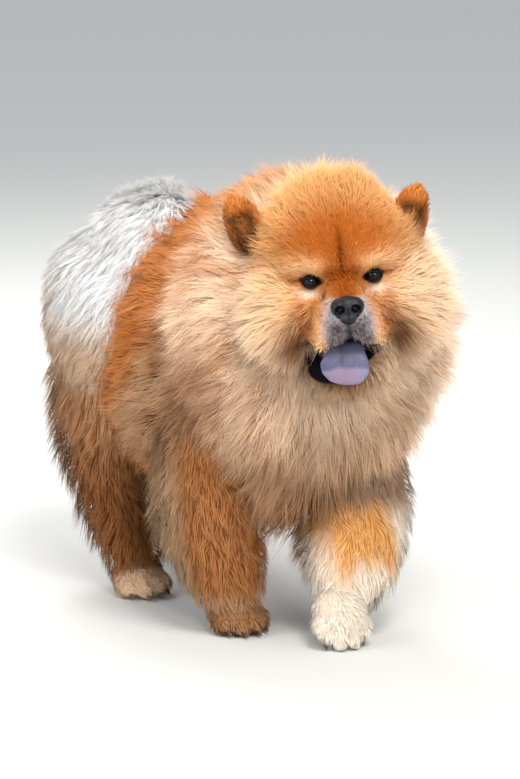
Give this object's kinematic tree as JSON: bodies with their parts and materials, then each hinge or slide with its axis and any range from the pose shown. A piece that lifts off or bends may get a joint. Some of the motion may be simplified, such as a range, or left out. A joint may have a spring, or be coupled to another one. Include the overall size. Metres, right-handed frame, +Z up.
{
  "type": "chow chow",
  "caption": "Life-size walking chow chow with a full ruff, its head turned and its blue-black tongue out.",
  "frame": {"origin": "on the floor under the middle of the dog's bounding box", "axes": "+Z up, -Y the way the dog walks, +X to the dog's left"},
  "size_m": [0.4417, 0.7441, 0.6352],
  "materials": {
    "red_coat": "matte fur",
    "cream_coat": "matte fur",
    "white_coat": "matte fur",
    "dark_coat": "matte fur",
    "black_skin": "moist, glossy",
    "tongue": "wet, satin",
    "eye": "wet, glossy"
  },
  "bodies": {
    "root": {"head": "red_coat", "jaw": "black_skin", "nose": "black_skin", "tongue": "tongue", "eye_right": "eye", "eye_left": "eye", "ear_right": "dark_coat", "ear_left": "dark_coat", "ruff": "cream_coat", "torso": "red_coat", "tail": "white_coat", "leg_front_right": "cream_coat", "leg_front_left": "cream_coat", "leg_hind_right": "cream_coat", "leg_hind_left": "cream_coat", "paw_front_right": "cream_coat", "paw_front_left": "cream_coat", "paw_hind_right": "cream_coat", "paw_hind_left": "cream_coat"}
  },
  "joints": []
}
